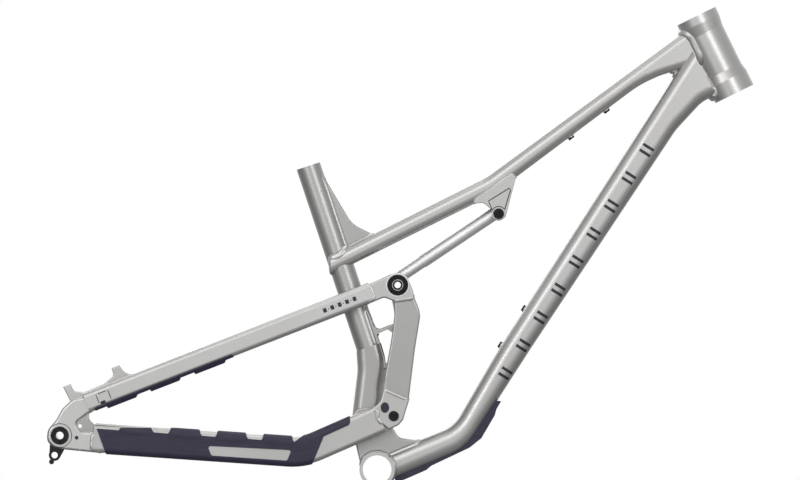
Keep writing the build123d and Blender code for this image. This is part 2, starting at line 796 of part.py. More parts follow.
seat_stay_envelope = seat_stay_solid()
chain_stay_envelope = chain_stay_solid()
with BuildPart() as seat_stay:
    add(seat_stay_envelope)
    add(seat_stay_solid(-WALL), mode=Mode.SUBTRACT)
    add(upper_pivot_envelope.part, mode=Mode.SUBTRACT)
with BuildPart() as chain_stay:
    add(chain_stay_envelope)
    add(chain_stay_solid(-WALL), mode=Mode.SUBTRACT)
    add(lower_pivot_envelope.part, mode=Mode.SUBTRACT)
for side_name, dropout_solid, flip in (
    ("right", dropout_shape, False),
    ("left", dropout_left_body.part, True),
):
    for stay, stay_name in ((seat_stay.part, "seat_stay"), (chain_stay.part, "chain_stay")):
        with BuildPart() as cut_stay:
            add(mirrored(stay) if flip else stay)
            add(dropout_solid, mode=Mode.SUBTRACT)
        save(largest(cut_stay.part), f"{stay_name}_{side_name}")

# ---------------------------------------------------------------- bridges between the stays
# Each bar's half length ends it inside the stays' walls
stay_start, stay_end = SEAT_STAY_ENDS
SEAT_STAY_SLOPE = degrees(atan2(stay_end[1] - stay_start[1], stay_end[0] - stay_start[0]))


def cross_bar(place, size, corner, slope, half):
    """A straight bar across the bicycle with a rounded section."""
    with BuildPart() as bar:
        with BuildSketch(across(place)):
            RectangleRounded(*size, corner, rotation=slope)
        extrude(amount=half, both=True)
    return bar.part


SEAT_BRIDGE = (-102.0, 215.5)
SEAT_BRIDGE_SIZE = (20.0, 14.0)
SEAT_BRIDGE_CORNER = 5.0
SEAT_BRIDGE_HALF = 48.0
CHAIN_BRIDGE = (-65.0, 42.0)
CHAIN_BRIDGE_SIZE = (18.0, 26.0)
CHAIN_BRIDGE_CORNER = 6.0
CHAIN_BRIDGE_SLOPE = 24.0
CHAIN_BRIDGE_HALF = 43.0
seat_stay_bar = cross_bar(
    SEAT_BRIDGE, SEAT_BRIDGE_SIZE, SEAT_BRIDGE_CORNER, SEAT_STAY_SLOPE, SEAT_BRIDGE_HALF
)
chain_stay_bar = cross_bar(
    CHAIN_BRIDGE, CHAIN_BRIDGE_SIZE, CHAIN_BRIDGE_CORNER, CHAIN_BRIDGE_SLOPE, CHAIN_BRIDGE_HALF
)
for bar, stay, name in (
    (seat_stay_bar, seat_stay_envelope, "seat_stay_bridge"),
    (chain_stay_bar, chain_stay_envelope, "chain_stay_bridge"),
):
    with BuildPart() as bridge:
        add(bar)
        add(stay, mode=Mode.SUBTRACT)
        add(mirrored(stay), mode=Mode.SUBTRACT)
    save(bridge.part, name)

# ---------------------------------------------------------------- stay guards
CHAIN_GUARD_SKIN = 1.6
CHAIN_PAD_SKIN = 2.8
GUARD_PAD_LOW = 10.0
SEAT_GUARD_SKIN = 5.0
CHAIN_BLOCKS = ((-363.7, -318.2), (-294.0, -250.0), (-227.3, -184.7), (-162.0, -119.4))
SEAT_BLOCKS = ((-380.7, -341.0), (-319.6, -279.9), (-257.2, -216.0))


def stay_middle(ends, x):
    """Height of a stay's middle line at this X."""
    (x_start, z_start), (x_end, z_end) = ends
    return z_start + (z_end - z_start) * (x - x_start) / (x_end - x_start)


chain_line = CHAIN_STAY_BENDS[:2]
guard_outline = [(-397, 59), (-381, 15), (-381, -5), (-96, -5), (-91.5, 9), (-75.5, 47.4)]
guard_outline += [(-40, 63.5), (-38, 68), (-40, 90), (-84, 90), (-90, 60)]
GUARD_TOP = 60.0
GUARD_DIP = 14.0
GUARD_STEP = 17.0
BLOCK_TAPER = 2.0
for block_start, block_end in reversed(CHAIN_BLOCKS):
    guard_outline += [
        (block_end + BLOCK_TAPER, stay_middle(chain_line, block_end) + GUARD_DIP),
        (block_end, stay_middle(chain_line, block_end) + GUARD_STEP),
        (block_end - BLOCK_TAPER, GUARD_TOP),
        (block_start + BLOCK_TAPER, GUARD_TOP),
        (block_start, stay_middle(chain_line, block_start) + GUARD_STEP),
        (block_start - BLOCK_TAPER, stay_middle(chain_line, block_start) + GUARD_DIP),
    ]
guard_window = [(-240.5, 34.2), (-121, 28), (-127.5, 13.2), (-234.5, 20.5)]


def guard_pad(block_start, block_end):
    """A raised pad along the chain stay's upper edge between two X values."""
    pad_outline = [
        (block_start + BLOCK_TAPER / 2, stay_middle(chain_line, block_start) + GUARD_PAD_LOW),
        (block_end - BLOCK_TAPER / 2, stay_middle(chain_line, block_end) + GUARD_PAD_LOW),
        (block_end - BLOCK_TAPER, GUARD_TOP),
        (block_start + BLOCK_TAPER, GUARD_TOP),
    ]
    with BuildPart() as pad:
        add(chain_stay_solid(CHAIN_PAD_SKIN))
        add(plate(pad_outline, (2, 2, 0, 0), 0, -FRAME_REACH), mode=Mode.INTERSECT)
    return pad.part


with BuildPart() as chain_stay_guard:
    add(chain_stay_solid(CHAIN_GUARD_SKIN))
    add(plate(guard_outline, [0] * len(guard_outline), 0, -FRAME_REACH), mode=Mode.INTERSECT)
    add(plate(guard_window, (3, 3, 3, 3), 0, -FRAME_REACH), mode=Mode.SUBTRACT)
    for block in CHAIN_BLOCKS:
        add(guard_pad(*block))
    add(chain_stay_envelope, mode=Mode.SUBTRACT)
    add(chain_stay_bar, mode=Mode.SUBTRACT)
save(largest(chain_stay_guard.part), "chain_stay_guard")

SEAT_GUARD_BAND = 16.2
SEAT_GUARD_BLOCK = 19.6
SEAT_GUARD_TOP = 12.0
seat_guard_outline = [(-399, stay_middle(SEAT_STAY_ENDS, -399) - SEAT_GUARD_BAND)]
for block_start, block_end in SEAT_BLOCKS:
    for x, low in (
        (block_start - BLOCK_TAPER, SEAT_GUARD_BAND),
        (block_start, SEAT_GUARD_BLOCK),
        (block_end, SEAT_GUARD_BLOCK),
        (block_end + BLOCK_TAPER, SEAT_GUARD_BAND),
    ):
        seat_guard_outline.append((x, stay_middle(SEAT_STAY_ENDS, x) - low))
seat_guard_outline += [
    (-203, stay_middle(SEAT_STAY_ENDS, -203) - SEAT_GUARD_BAND),
    (-206, stay_middle(SEAT_STAY_ENDS, -206) - SEAT_GUARD_TOP),
    (-396, stay_middle(SEAT_STAY_ENDS, -396) - SEAT_GUARD_TOP),
]
with BuildPart() as seat_stay_guard:
    add(seat_stay_solid(SEAT_GUARD_SKIN))
    add(
        plate(seat_guard_outline, [0] * len(seat_guard_outline), 0, -FRAME_REACH),
        mode=Mode.INTERSECT,
    )
    add(seat_stay_envelope, mode=Mode.SUBTRACT)
    add(dropout_shape, mode=Mode.SUBTRACT)
save(largest(seat_stay_guard.part), "seat_stay_guard")

# ---------------------------------------------------------------- brake mount
POST_HALF = 5.7
POST_HIGH = 11.0
BRAKE_HALF = 7.0
BRAKE_EDGE = 1.5
BRAKE_THREAD_DEEP = 16.0
post_a, post_b = BRAKE_POSTS
post_gap = hypot(post_b[0] - post_a[0], post_b[1] - post_a[1])
post_run = ((post_b[0] - post_a[0]) / post_gap, (post_b[1] - post_a[1]) / post_gap)


def from_post(post, run, up):
    """A place reached from a post's top centre, along the row of posts and square to it."""
    return (
        post[0] + post_run[0] * run - post_run[1] * up,
        post[1] + post_run[1] * run + post_run[0] * up,
    )


brake_points = [
    from_post(post_a, -POST_HALF, 0),
    from_post(post_a, POST_HALF, 0),
    from_post(post_a, POST_HALF + 1, -POST_HIGH),
    from_post(post_a, 20, -18),
    from_post(post_b, -24, -17),
    from_post(post_b, -POST_HALF - 1, -POST_HIGH),
    from_post(post_b, -POST_HALF, 0),
    from_post(post_b, POST_HALF, 0),
    from_post(post_b, POST_HALF + 3, -POST_HIGH),
    from_post(post_b, 22, -24),
    from_post(post_a, 30, -40),
    from_post(post_a, -2, -34),
]
with BuildPart() as brake_mount:
    add(
        plate(
            brake_points,
            (0, 0, 6, 12, 12, 6, 0, 0, 10, 0, 0, 0),
            BRAKE_Y + BRAKE_HALF,
            BRAKE_Y - BRAKE_HALF,
            BRAKE_EDGE,
        )
    )
    add(mirrored(seat_stay_envelope), mode=Mode.SUBTRACT)
    add(dropout_left_body.part, mode=Mode.SUBTRACT)
    for post in BRAKE_POSTS:
        post_plane = Plane(
            origin=(post[0], BRAKE_Y, post[1]),
            x_dir=(post_run[0], 0, post_run[1]),
            z_dir=(-post_run[1], 0, post_run[0]),
        )
        with BuildSketch(post_plane):
            Circle(BRAKE_THREAD_R)
        extrude(amount=-BRAKE_THREAD_DEEP, mode=Mode.SUBTRACT)
save(largest(brake_mount.part), "brake_mount")

# ---------------------------------------------------------------- swingarm axles, caps and plug
CAP_R = 14.6
CAP_THICK = 2.2
CAP_NOTCHES = 16
CAP_NOTCH_AT = 11.6
CAP_NOTCH_R = 1.1
CAP_NOTCH_DEEP = 1.0
CAP_EDGE = 0.6
BOLT_HEX_R = 3.5
BOLT_HEX_DEEP = 2.0
LOWER_BOLT_R = 7.3
LOWER_BOLT_HIGH = 3.0
save(disc(UPPER_PIVOT, UPPER_AXLE_R, SIDE_OUTER, -SIDE_OUTER, UPPER_AXLE_BORE_R), "upper_pivot_axle")
with BuildPart() as cap_right:
    add(disc(UPPER_PIVOT, CAP_R, -SIDE_OUTER, -SIDE_OUTER - CAP_THICK, UPPER_AXLE_BORE_R))
    with BuildSketch(across(UPPER_PIVOT, -SIDE_OUTER - CAP_THICK)):
        with PolarLocations(CAP_NOTCH_AT, CAP_NOTCHES):
            Circle(CAP_NOTCH_R)
    extrude(amount=-CAP_NOTCH_DEEP, mode=Mode.SUBTRACT)
    fillet(cap_right.faces().sort_by(Axis.Y)[0].outer_wire().edges(), CAP_EDGE)
with BuildPart() as upper_pivot_caps:
    add(cap_right.part)
    add(mirrored(cap_right.part))
save(upper_pivot_caps.part, "upper_pivot_caps")

save(disc(LOWER_PIVOT, LOWER_AXLE_R, SIDE_OUTER, -SIDE_OUTER), "lower_pivot_axle")
with BuildPart() as lower_bolt_right:
    add(disc(LOWER_PIVOT, LOWER_BOLT_R, -SIDE_OUTER, -SIDE_OUTER - LOWER_BOLT_HIGH))
    with BuildSketch(across(LOWER_PIVOT, -SIDE_OUTER - LOWER_BOLT_HIGH)):
        RegularPolygon(BOLT_HEX_R, 6)
    extrude(amount=-BOLT_HEX_DEEP, mode=Mode.SUBTRACT)
    fillet(lower_bolt_right.faces().sort_by(Axis.Y)[0].outer_wire().edges(), CAP_EDGE)
with BuildPart() as lower_pivot_bolts:
    add(lower_bolt_right.part)
    add(mirrored(lower_bolt_right.part))
save(lower_pivot_bolts.part, "lower_pivot_bolts")

PLUG_PLACE = (11.1, 88.3)
PLUG_RADII = (5.9, 7.4)
PLUG_THICK = 1.2
with BuildPart() as cable_plug:
    with BuildSketch(across(PLUG_PLACE, -SIDE_OUTER)):
        Ellipse(*PLUG_RADII)
    extrude(amount=PLUG_THICK)
save(cable_plug.part, "cable_plug")

# ---------------------------------------------------------------- lower link
LINK_EYE_R = 9.0
LINK_BEARING_R = 7.6
LINK_AXLE_HALF = 29.6
with BuildPart() as link_plate:
    with BuildSketch(side(-LINK_INNER)):
        with Locations(LOWER_LINK_PIVOT):
            Circle(LINK_EYE_R)
        with Locations(LOWER_PIVOT):
            Circle(LINK_EYE_R)
        make_hull()
    extrude(amount=LINK_OUTER - LINK_INNER)
with BuildPart() as lower_link:
    add(link_plate.part)
    add(mirrored(link_plate.part))
    add(disc(LOWER_PIVOT, LINK_EYE_R, LINK_INNER, -LINK_INNER))
    add(disc(LOWER_PIVOT, LOWER_AXLE_R + RUNNING_GAP, SHELL_HALF, -SHELL_HALF), mode=Mode.SUBTRACT)
    add(disc(LOWER_LINK_PIVOT, LINK_BEARING_R, SHELL_HALF, -SHELL_HALF), mode=Mode.SUBTRACT)
save(lower_link.part, "lower_link")
link_bearing = disc(
    LOWER_LINK_PIVOT, LINK_BEARING_R, -LINK_INNER, -LINK_OUTER, LINK_AXLE_R + RUNNING_GAP
)
with BuildPart() as lower_link_bearings:
    add(link_bearing)
    add(mirrored(link_bearing))
save(lower_link_bearings.part, "lower_link_bearings")
save(disc(LOWER_LINK_PIVOT, LINK_AXLE_R, LINK_AXLE_HALF, -LINK_AXLE_HALF), "lower_link_axle")

# ---------------------------------------------------------------- upper link
ROCKER_EYE_R = 9.3
ROCKER_TOP_R = 12.0
ROCKER_BEARING_R = 8.0
ROCKER_AXLE_HALF = 25.4
CROSS_PLACE = (31.5, 228.0)
CROSS_R = 5.0
with BuildPart() as rocker_plate:
    with BuildSketch(side(-ROCKER_INNER)):
        with Locations(ROCKER_PIVOT):
            Circle(ROCKER_EYE_R)
        with Locations(UPPER_PIVOT):
            Circle(ROCKER_TOP_R)
        make_hull()
    extrude(amount=ROCKER_OUTER - ROCKER_INNER)
with BuildPart() as upper_link:
    add(rocker_plate.part)
    add(mirrored(rocker_plate.part))
    add(disc(CROSS_PLACE, CROSS_R, ROCKER_INNER, -ROCKER_INNER))
    add(disc(UPPER_PIVOT, UPPER_AXLE_R + OPEN_PIVOT_GAP, SHELL_HALF, -SHELL_HALF), mode=Mode.SUBTRACT)
    add(disc(ROCKER_PIVOT, ROCKER_BEARING_R, SHELL_HALF, -SHELL_HALF), mode=Mode.SUBTRACT)
save(upper_link.part, "upper_link")
rocker_bearing = disc(
    ROCKER_PIVOT, ROCKER_BEARING_R, -ROCKER_INNER, -ROCKER_OUTER, ROCKER_AXLE_R + RUNNING_GAP
)
with BuildPart() as upper_link_bearings:
    add(rocker_bearing)
    add(mirrored(rocker_bearing))
save(upper_link_bearings.part, "upper_link_bearings")
save(disc(ROCKER_PIVOT, ROCKER_AXLE_R, ROCKER_AXLE_HALF, -ROCKER_AXLE_HALF), "rocker_axle")

# ---------------------------------------------------------------- strut and shock bolt
strut_length = hypot(SHOCK_PIVOT[0] - UPPER_PIVOT[0], SHOCK_PIVOT[1] - UPPER_PIVOT[1])
strut_run = (
    (SHOCK_PIVOT[0] - UPPER_PIVOT[0]) / strut_length,
    (SHOCK_PIVOT[1] - UPPER_PIVOT[1]) / strut_length,
)
strut_low = Vector(
    UPPER_PIVOT[0] - strut_run[1] * STRUT_ABOVE_PIVOT,
    0,
    UPPER_PIVOT[1] + strut_run[0] * STRUT_ABOVE_PIVOT,
)
strut_high = Vector(
    SHOCK_PIVOT[0] - strut_run[1] * STRUT_ABOVE_SHOCK,
    0,
    SHOCK_PIVOT[1] + strut_run[0] * STRUT_ABOVE_SHOCK,
)
strut_axis = (strut_low - strut_high).normalized()
strut_plane = Plane(origin=strut_high, x_dir=(0, 1, 0), z_dir=strut_axis)
SHOCK_EYE_R = 9.6
ROD_EYE_R = 14.0
ROD_BUSH_R = 11.0
SHOCK_BUSH_R = 6.5
with BuildPart() as strut_tube:
    with BuildSketch(strut_plane):
        Circle(STRUT_R)
    extrude(amount=STRUT_MOUTH)
    add(disc(SHOCK_PIVOT, SHOCK_EYE_R, STRUT_HALF, -STRUT_HALF))
    with BuildSketch(strut_plane.offset(STRUT_BORE_END)):
        Circle(STRUT_BORE_R)
    extrude(amount=STRUT_MOUTH, mode=Mode.SUBTRACT)
    add(disc(SHOCK_PIVOT, SHOCK_BUSH_R, SHELL_HALF, -SHELL_HALF), mode=Mode.SUBTRACT)
save(strut_tube.part, "strut_tube")
save(
    disc(SHOCK_PIVOT, SHOCK_BUSH_R, STRUT_HALF, -STRUT_HALF, SHOCK_BOLT_R + RUNNING_GAP),
    "strut_tube_bush",
)
with BuildPart() as strut_rod:
    with BuildSketch(strut_plane.offset(STRUT_ROD_END)):
        Circle(STRUT_ROD_R)
    extrude(amount=(strut_low - strut_high).length - STRUT_ROD_END)
    add(disc(UPPER_PIVOT, ROD_EYE_R, STRUT_HALF, -STRUT_HALF))
    add(disc(UPPER_PIVOT, ROD_BUSH_R, SHELL_HALF, -SHELL_HALF), mode=Mode.SUBTRACT)
save(strut_rod.part, "strut_rod")
save(
    disc(UPPER_PIVOT, ROD_BUSH_R, STRUT_HALF, -STRUT_HALF, UPPER_AXLE_R + STRUT_OPEN_GAP),
    "strut_rod_bush",
)

SHOCK_HEAD_R = 7.6
SHOCK_HEAD_HIGH = 3.0
SHOCK_NUT_R = 6.5
SHOCK_NUT_HIGH = 4.5
with BuildPart() as shock_bolt:
    add(disc(SHOCK_PIVOT, SHOCK_BOLT_R, EAR_OUTER, -EAR_OUTER))
    add(disc(SHOCK_PIVOT, SHOCK_HEAD_R, -EAR_OUTER, -EAR_OUTER - SHOCK_HEAD_HIGH))
    with BuildSketch(across(SHOCK_PIVOT, -EAR_OUTER - SHOCK_HEAD_HIGH)):
        RegularPolygon(BOLT_HEX_R, 6)
    extrude(amount=-BOLT_HEX_DEEP, mode=Mode.SUBTRACT)
save(shock_bolt.part, "shock_bolt")
with BuildPart() as shock_nut:
    with BuildSketch(across(SHOCK_PIVOT, EAR_OUTER)):
        RegularPolygon(SHOCK_NUT_R, 6)
    extrude(amount=-SHOCK_NUT_HIGH)
save(shock_nut.part, "shock_nut")
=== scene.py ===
"""The looks of the bicycle frame: paint, weld beads, rubber, anodised fittings and plain markings.

Everything is in metres in the frame's own axes: +X forward, +Z up, drive side at -Y.
"""

import json
import math

import bmesh
import bpy
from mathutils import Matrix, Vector
from mathutils.bvhtree import BVHTree


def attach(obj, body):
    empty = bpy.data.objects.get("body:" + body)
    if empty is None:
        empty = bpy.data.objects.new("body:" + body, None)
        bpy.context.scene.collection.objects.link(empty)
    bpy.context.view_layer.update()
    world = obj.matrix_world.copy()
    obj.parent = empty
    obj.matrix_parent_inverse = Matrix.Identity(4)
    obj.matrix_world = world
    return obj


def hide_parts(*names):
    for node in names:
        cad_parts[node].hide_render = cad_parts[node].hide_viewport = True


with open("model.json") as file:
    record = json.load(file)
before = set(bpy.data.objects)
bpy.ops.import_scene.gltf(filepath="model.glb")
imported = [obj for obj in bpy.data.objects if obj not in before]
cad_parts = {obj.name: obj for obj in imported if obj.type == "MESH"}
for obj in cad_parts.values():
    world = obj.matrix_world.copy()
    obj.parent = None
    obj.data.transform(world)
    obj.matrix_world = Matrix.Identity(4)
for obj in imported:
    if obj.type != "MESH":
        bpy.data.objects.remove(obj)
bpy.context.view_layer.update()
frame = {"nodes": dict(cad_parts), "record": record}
NODES = frame["nodes"]
BODY_OF = {n: b for b, names in frame["record"]["behaviour"]["bodies"].items() for n in names}
SLOT_OF = {s["node"]: s["material_slot"] for s in frame["record"]["subparts"]}


HANDS = {"right": -1, "left": 1}
SHARP_ANGLE = math.radians(32)

# ---------------------------------------------------------------- materials
MIX_FACTOR, MIX_FIRST, MIX_SECOND, MIX_COLOUR = 0, 6, 7, 2
TURNED_GRAIN = (0.25, 1.0, 0.25)
GROUND_GRAIN = (1.0, 0.2, 1.0)


class Tree:
    """A small helper that adds shader nodes to one node tree and links them."""

    def __init__(self, tree):
        self.tree = tree

    def add(self, kind):
        return self.tree.nodes.new(kind)

    def link(self, start, end):
        self.tree.links.new(start, end)

    def ramp(self, value, stops):
        """A colour ramp over a value; stops are (position, colour)."""
        node = self.add("ShaderNodeValToRGB")
        while len(node.color_ramp.elements) < len(stops):
            node.color_ramp.elements.new(0.5)
        for element, (position, colour) in zip(node.color_ramp.elements, stops):
            element.position = position
            element.color = (*colour, 1.0)
        self.link(value, node.inputs["Fac"])
        return node.outputs["Color"]

    def spread(self, value, low, high, start=0.0):
        """Rescales a value from start..1 to low..high."""
        node = self.add("ShaderNodeMapRange")
        node.inputs["From Min"].default_value = start
        node.inputs["To Min"].default_value = low
        node.inputs["To Max"].default_value = high
        self.link(value, node.inputs["Value"])
        return node.outputs["Result"]

    def mix(self, first, second, share, blend="MIX"):
        """Blends share of the second colour into the first."""
        node = self.add("ShaderNodeMix")
        node.data_type = "RGBA"
        node.blend_type = blend
        node.inputs[MIX_FACTOR].default_value = share
        self.link(first, node.inputs[MIX_FIRST])
        self.link(second, node.inputs[MIX_SECOND])
        return node.outputs[MIX_COLOUR]

    def math(self, operation, *values):
        node = self.add("ShaderNodeMath")
        node.operation = operation
        for value, socket in zip(values, node.inputs):
            self.link(value, socket)
        return node.outputs["Value"]


class Look(Tree):
    """One material's node tree, over the object's own coordinates."""

    def __init__(self, name):
        self.material = bpy.data.materials.new(name)
        self.material.use_nodes = True
        super().__init__(self.material.node_tree)
        self.shader = self.tree.nodes["Principled BSDF"]
        self.place = self.add("ShaderNodeTexCoord").outputs["Object"]

    def noise(self, scale, detail=2.0, stretch=None):
        """Noise over the object's own coordinates, stretched along an axis where stretch says so."""
        source = self.place
        if stretch:
            mapping = self.add("ShaderNodeMapping")
            mapping.inputs["Scale"].default_value = stretch
            self.link(source, mapping.inputs["Vector"])
            source = mapping.outputs["Vector"]
        node = self.add("ShaderNodeTexNoise")
        node.inputs["Scale"].default_value = scale
        node.inputs["Detail"].default_value = detail
        self.link(source, node.inputs["Vector"])
        return node.outputs["Fac"]

    def colour(self, value, *stops):
        """Colours the surface by a ramp over a value; stops are (position, colour)."""
        self.link(self.ramp(value, stops), self.shader.inputs["Base Color"])

    def rough(self, value, low, high):
        """Lets the roughness follow a value between low and high."""
        self.link(self.spread(value, low, high), self.shader.inputs["Roughness"])

    def bump(self, *layers):
        """Chains bump layers (value, strength, distance) into the shader's normal."""
        normal = None
        for value, strength, distance in layers:
            node = self.add("ShaderNodeBump")
            node.inputs["Strength"].default_value = strength
            node.inputs["Distance"].default_value = distance
            self.link(value, node.inputs["Height"])
            if normal:
                self.link(normal, node.inputs["Normal"])
            normal = node.outputs["Normal"]
        self.link(normal, self.shader.inputs["Normal"])

    def set(self, **values):
        """Sets the shader's own sockets; an underscore stands for a space in a socket's name."""
        for key, value in values.items():
            self.shader.inputs[key.replace("_", " ")].default_value = value


def frame_paint(name, shade_scale):
    """Pearl silver paint: fine flake under a satin clear coat, with faint clouding and wipe marks.

    The last argument scales both its colours; below 1.0 the paint is darker, as painted shade.
    """
    m = Look(name)
    flake = m.noise(2600.0, detail=1.0)
    cloud = m.noise(9.0, detail=3.0)
    wipe = m.noise(60.0, detail=3.0, stretch=(1.0, 1.0, 9.0))
    flakes = [(0.25, (0.54, 0.537, 0.525)), (0.5, (0.59, 0.588, 0.575)), (0.78, (0.64, 0.637, 0.625))]
    clouds = [(0.3, (0.545, 0.535, 0.515)), (0.7, (0.605, 0.605, 0.61))]
    first, second = (
        m.ramp(value, [(place, tuple(part * shade_scale for part in colour)) for place, colour in stops])
        for value, stops in ((flake, flakes), (cloud, clouds))
    )
    m.link(m.mix(first, second, share=0.6), m.shader.inputs["Base Color"])
    m.rough(wipe, 0.30, 0.42)
    m.set(Metallic=0.85, Coat_Weight=0.3, Coat_Roughness=0.18, Coat_IOR=1.45)
    m.bump((m.noise(110.0), 0.03, 0.0002))
    return m.material


def bright_alloy():
    """Machined bright rims, satin enough to stay pale all round."""
    m = Look("bright_alloy")
    rings = m.noise(900.0, stretch=TURNED_GRAIN)
    m.colour(rings, (0.3, (0.86, 0.86, 0.87)), (0.7, (0.93, 0.93, 0.94)))
    m.rough(rings, 0.40, 0.55)
    m.set(Metallic=0.45)
    m.bump((rings, 0.05, 0.00003))
    return m.material


def raw_alloy():
    """Turned bare aluminium, with fine lathe rings and a few dull patches."""
    m = Look("raw_alloy")
    rings = m.noise(900.0, stretch=TURNED_GRAIN)
    m.colour(m.noise(40.0, detail=3.0), (0.3, (0.80, 0.80, 0.81)), (0.7, (0.90, 0.90, 0.90)))
    m.rough(rings, 0.42, 0.56)
    m.set(Metallic=1.0)
    m.bump((rings, 0.08, 0.00005))
    return m.material


def black_alloy():
    """Black anodised aluminium with a soft bead-blasted grain."""
    m = Look("black_alloy")
    grain = m.noise(1800.0)
    m.colour(m.noise(70.0), (0.3, (0.012, 0.012, 0.014)), (0.75, (0.026, 0.026, 0.03)))
    m.rough(grain, 0.30, 0.48)
    m.set(Metallic=0.7)
    m.bump((grain, 0.12, 0.00008))
    return m.material


def black_steel():
    """Black-oxide fasteners with a thin oily sheen and rubbed-bright specks."""
    m = Look("black_steel")
    specks = m.noise(1100.0, detail=3.0)
    m.colour(specks, (0.0, (0.010, 0.010, 0.011)), (0.66, (0.018, 0.018, 0.02)), (0.82, (0.12, 0.12, 0.12)))
    m.rough(m.noise(300.0), 0.28, 0.45)
    m.set(Metallic=0.85)
    m.bump((specks, 0.15, 0.00005))
    return m.material


def bearing_steel():
    """Ground bearing rings."""
    m = Look("bearing_steel")
    ground = m.noise(1500.0, stretch=GROUND_GRAIN)
    m.colour(ground, (0.3, (0.42, 0.42, 0.44)), (0.7, (0.58, 0.58, 0.6)))
    m.rough(ground, 0.16, 0.3)
    m.set(Metallic=1.0)
    m.bump((ground, 0.1, 0.00005))
    return m.material


def guard_rubber():
    """Moulded blue-black rubber: fine pebble grain, a little dust and scuffing."""
    m = Look("guard_rubber")
    grain = m.noise(1300.0, detail=3.0)
    scuff = m.noise(55.0, detail=4.0, stretch=(1.0, 1.0, 3.0))
    dark, plain, dusty = (0.024, 0.021, 0.050), (0.032, 0.028, 0.062), (0.050, 0.046, 0.086)
    m.colour(scuff, (0.35, dark), (0.62, plain), (0.85, dusty))
    m.rough(grain, 0.42, 0.58)
    m.set(Specular_IOR_Level=0.40, Coat_Weight=0.15, Coat_Roughness=0.35)
    m.bump((grain, 0.28, 0.00018), (scuff, 0.1, 0.0003))
    return m.material


def plug_plastic():
    """Moulded dark plastic for the cable plug and the strut's bushes."""
    m = Look("plug_plastic")
    grain = m.noise(1600.0)
    m.colour(grain, (0.3, (0.012, 0.013, 0.03)), (0.7, (0.022, 0.023, 0.045)))
    m.rough(grain, 0.3, 0.45)
    m.bump((grain, 0.15, 0.0001))
    return m.material


def ink_and_painted_shade():
    """Dark matt ink for the plain markings, slightly uneven where it was printed. The same dark also
    colours the painted shade line round the shock bracket's pockets.
    """
    m = Look("ink_and_painted_shade")
    patch = m.noise(500.0, detail=3.0)
    m.colour(patch, (0.3, (0.016, 0.016, 0.026)), (0.7, (0.030, 0.030, 0.044)))
    m.rough(patch, 0.42, 0.58)
    m.bump((patch, 0.1, 0.00005))
    return m.material


MATERIALS = {
    "frame_paint": frame_paint("frame_paint", 1.0),
    # A darker copy of the frame paint, as painted shade for the inner pieces.
    "frame_paint_painted_shade": frame_paint("frame_paint_painted_shade", 0.8),
    "bright_alloy": bright_alloy(),
    "raw_alloy": raw_alloy(),
    "black_alloy": black_alloy(),
    "black_steel": black_steel(),
    "bearing_steel": bearing_steel(),
    "guard_rubber": guard_rubber(),
    "plug_plastic": plug_plastic(),
    "ink_and_painted_shade": ink_and_painted_shade(),
}
MATERIALS["bush_plastic"] = MATERIALS["plug_plastic"]
# The frame's inner pieces get a darker copy of the paint: painted shade for the shade they sit in.
PAINTED_SHADE_NODES = (
    "seat_tube",
    "lower_forging",
    "rocker_bracket",
    "seat_tube_gusset",
    "upright_right",
    "upright_left",
)
for name, obj in NODES.items():
    obj.data.materials.clear()
    look = "frame_paint_painted_shade" if name in PAINTED_SHADE_NODES else SLOT_OF[name]
    obj.data.materials.append(MATERIALS[look])

# ---------------------------------------------------------------- camera
VIEW_CENTRE = Vector((0.0325, 0.0, 0.3259))
VIEW_WIDTH = 1.136
CAMERA_DISTANCE = 30.0
CAMERA_REACH = 100.0
SENSOR = 36.0
camera_data = bpy.data.cameras.new("camera")
camera_data.sensor_width = SENSOR
camera_data.lens = SENSOR * CAMERA_DISTANCE / VIEW_WIDTH
camera_data.clip_end = CAMERA_REACH
camera = bpy.data.objects.new("camera", camera_data)
camera.location = VIEW_CENTRE + Vector((0.0, -CAMERA_DISTANCE, 0.0))
camera.rotation_euler = (math.radians(90.0), 0.0, 0.0)
bpy.context.scene.collection.objects.link(camera)
bpy.context.scene.camera = camera
bpy.context.scene.view_settings.view_transform = "Standard"

# ---------------------------------------------------------------- floor and light
FLOOR_X, FLOOR_NEAR, FLOOR_FAR, FLOOR_Z = 1.7, -1.5, 0.34, -0.032
WHITE = (1.0, 1.0, 1.0, 1.0)
floor_mesh = bpy.data.meshes.new("floor")
floor_corners = ((-FLOOR_X, FLOOR_NEAR), (FLOOR_X, FLOOR_NEAR), (FLOOR_X, FLOOR_FAR), (-FLOOR_X, FLOOR_FAR))
floor_mesh.from_pydata([(x, y, FLOOR_Z) for x, y in floor_corners], [], [(0, 1, 2, 3)])
floor = bpy.data.objects.new("floor", floor_mesh)
bpy.context.scene.collection.objects.link(floor)
floor_look = Look("floor_white")
floor_look.colour(floor_look.noise(3.0), (0.3, (0.92, 0.92, 0.92)), (0.7, (0.95, 0.95, 0.95)))
floor_look.set(Roughness=0.9, Emission_Color=WHITE, Emission_Strength=0.35)
floor_mesh.materials.append(floor_look.material)
floor.visible_diffuse = False
floor.visible_glossy = False

